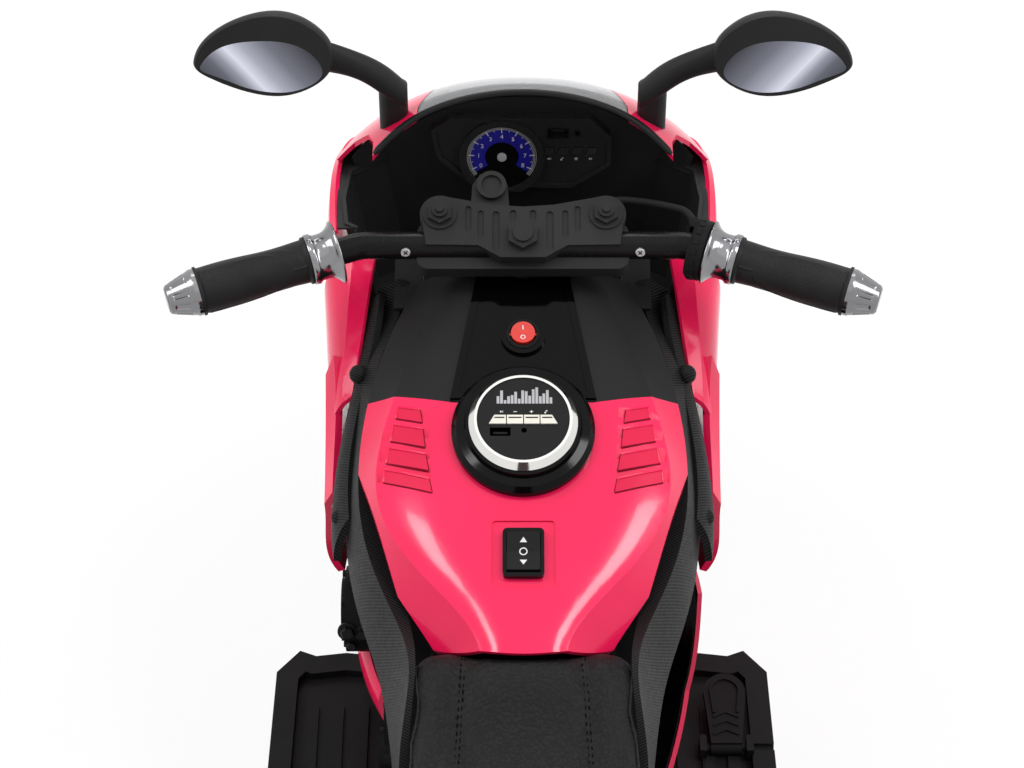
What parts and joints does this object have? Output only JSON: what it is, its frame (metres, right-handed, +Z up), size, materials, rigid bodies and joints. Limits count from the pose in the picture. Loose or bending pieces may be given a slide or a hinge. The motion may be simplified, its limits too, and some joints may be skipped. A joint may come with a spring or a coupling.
{
  "type": "ride-on motorbike",
  "caption": "Child's battery ride-on motorbike with pink and black bodywork, steering handlebar, twist grip, mirrors, dash, music panel, footboards and stabiliser wheels.",
  "frame": {"origin": "on the ground, at the middle of the length and width", "axes": "+X to the rider's right, +Y forward, +Z up"},
  "size_m": [0.4642, 0.914, 0.6332],
  "materials": {
    "pink_plastic": "gloss",
    "black_plastic": "fine texture",
    "gloss_black": "gloss",
    "smoked_screen": "clear, lightly smoked",
    "lamp_glass": "clear",
    "seat_leather": "grained, stitched",
    "grip_rubber": "ribbed",
    "chrome_trim": "polished",
    "steel": "satin",
    "black_steel": "satin black",
    "mirror_glass": "polished",
    "dial_face": "printed",
    "red_plastic": "gloss",
    "key_plastic": "satin",
    "battery_case": "moulded"
  },
  "bodies": {
    "body": {"battery": "battery_case", "belly_fairings": "pink_plastic", "chassis_left": "black_plastic", "chassis_right": "black_plastic", "cockpit_liner": "black_plastic", "dash_dial": "dial_face", "dash_housing": "black_plastic", "drive_unit": "black_plastic", "engine_cover_left": "black_plastic", "engine_cover_right": "black_plastic", "footboard_left": "black_plastic", "footboard_right": "black_plastic", "head_bearing": "steel", "lamp_lenses": "lamp_glass", "mirror_glasses": "mirror_glass", "mirror_left": "gloss_black", "mirror_right": "gloss_black", "music_panel": "gloss_black", "music_ring": "chrome_trim", "nose_fairing": "pink_plastic", "rear_axle": "steel", "screws": "steel", "seat_cushion": "seat_leather", "side_fairing_left": "pink_plastic", "side_fairing_right": "pink_plastic", "side_panel_left": "black_plastic", "side_panel_right": "black_plastic", "stabiliser_arms": "black_steel", "switch_bodies": "gloss_black", "tail_cowl": "pink_plastic", "tank_cover": "pink_plastic", "tank_front_panel": "gloss_black", "windshield": "smoked_screen"},
    "steering": {"front_fork": "black_steel", "steering_stem": "black_steel", "front_mudguard": "pink_plastic", "top_clamp": "black_steel", "handlebar": "black_steel", "grip_left": "grip_rubber", "grip_trim_left": "chrome_trim", "throttle_housing": "black_plastic", "throttle_cable": "grip_rubber", "front_axle": "steel"},
    "throttle": {"grip_right": "grip_rubber", "grip_trim_right": "chrome_trim"},
    "front_wheel": {"front_wheel": "black_plastic"},
    "rear_wheel": {"rear_wheel": "black_plastic"},
    "stabiliser_left": {"stabiliser_wheel_left": "black_plastic"},
    "stabiliser_right": {"stabiliser_wheel_right": "black_plastic"},
    "pedal": {"foot_pedal": "black_plastic"},
    "power_switch": {"power_rocker": "red_plastic"},
    "direction_switch": {"direction_rocker": "gloss_black"},
    "dash_key_1": {"dash_button_1": "black_plastic"},
    "music_key_1": {"music_button_1": "key_plastic"},
    "dash_key_2": {"dash_button_2": "black_plastic"},
    "music_key_2": {"music_button_2": "key_plastic"},
    "dash_key_3": {"dash_button_3": "black_plastic"},
    "music_key_3": {"music_button_3": "key_plastic"},
    "dash_key_4": {"dash_button_4": "black_plastic"},
    "music_key_4": {"music_button_4": "key_plastic"}
  },
  "joints": [
    {"name": "steering_turn", "type": "hinge", "parent": "body", "child": "steering", "pos_m": [0, 0.1374, 0.5134], "axis": [0, -0.4147, 0.91], "range_deg": [-20, 20]},
    {"name": "throttle_twist", "type": "hinge", "parent": "steering", "child": "throttle", "pos_m": [0.105, 0.14014, 0.50256], "axis": [0.947, -0.31, -0.0838], "range_deg": [0, 30], "stiffness_Nm_per_rad": 0.4},
    {"name": "front_wheel_spin", "type": "hinge", "parent": "steering", "child": "front_wheel", "pos_m": [0, 0.33199, 0.125], "axis": [1, 0, 0], "continuous": true},
    {"name": "rear_wheel_spin", "type": "hinge", "parent": "body", "child": "rear_wheel", "pos_m": [0, -0.308, 0.125], "axis": [1, 0, 0], "continuous": true},
    {"name": "pedal_press", "type": "hinge", "parent": "body", "child": "pedal", "pos_m": [0.145, 0.01, 0.14], "axis": [-1, 0, 0], "range_deg": [0, 8], "stiffness_Nm_per_rad": 2},
    {"name": "power_rock", "type": "hinge", "parent": "body", "child": "power_switch", "pos_m": [0, 0.09365, 0.4666], "axis": [1, 0, 0], "range_deg": [-8, 8]},
    {"name": "direction_rock", "type": "hinge", "parent": "body", "child": "direction_switch", "pos_m": [0, -0.0555, 0.42086], "axis": [1, 0, 0], "range_deg": [-10, 10]},
    {"name": "stabiliser_left_spin", "type": "hinge", "parent": "body", "child": "stabiliser_left", "pos_m": [-0.148, -0.308, 0.055], "axis": [1, 0, 0], "continuous": true},
    {"name": "stabiliser_right_spin", "type": "hinge", "parent": "body", "child": "stabiliser_right", "pos_m": [0.148, -0.308, 0.055], "axis": [1, 0, 0], "continuous": true},
    {"name": "dash_key_1_press", "type": "slide", "parent": "body", "child": "dash_key_1", "axis": [0, 0.9848, -0.1736], "range_m": [0, 0.001], "stiffness_N_per_m": 400},
    {"name": "music_key_1_press", "type": "slide", "parent": "body", "child": "music_key_1", "axis": [0, 0.284, -0.9588], "range_m": [0, 0.001], "stiffness_N_per_m": 400},
    {"name": "dash_key_2_press", "type": "slide", "parent": "body", "child": "dash_key_2", "axis": [0, 0.9848, -0.1736], "range_m": [0, 0.001], "stiffness_N_per_m": 400},
    {"name": "music_key_2_press", "type": "slide", "parent": "body", "child": "music_key_2", "axis": [0, 0.284, -0.9588], "range_m": [0, 0.001], "stiffness_N_per_m": 400},
    {"name": "dash_key_3_press", "type": "slide", "parent": "body", "child": "dash_key_3", "axis": [0, 0.9848, -0.1736], "range_m": [0, 0.001], "stiffness_N_per_m": 400},
    {"name": "music_key_3_press", "type": "slide", "parent": "body", "child": "music_key_3", "axis": [0, 0.284, -0.9588], "range_m": [0, 0.001], "stiffness_N_per_m": 400},
    {"name": "dash_key_4_press", "type": "slide", "parent": "body", "child": "dash_key_4", "axis": [0, 0.9848, -0.1736], "range_m": [0, 0.001], "stiffness_N_per_m": 400},
    {"name": "music_key_4_press", "type": "slide", "parent": "body", "child": "music_key_4", "axis": [0, 0.284, -0.9588], "range_m": [0, 0.001], "stiffness_N_per_m": 400}
  ]
}
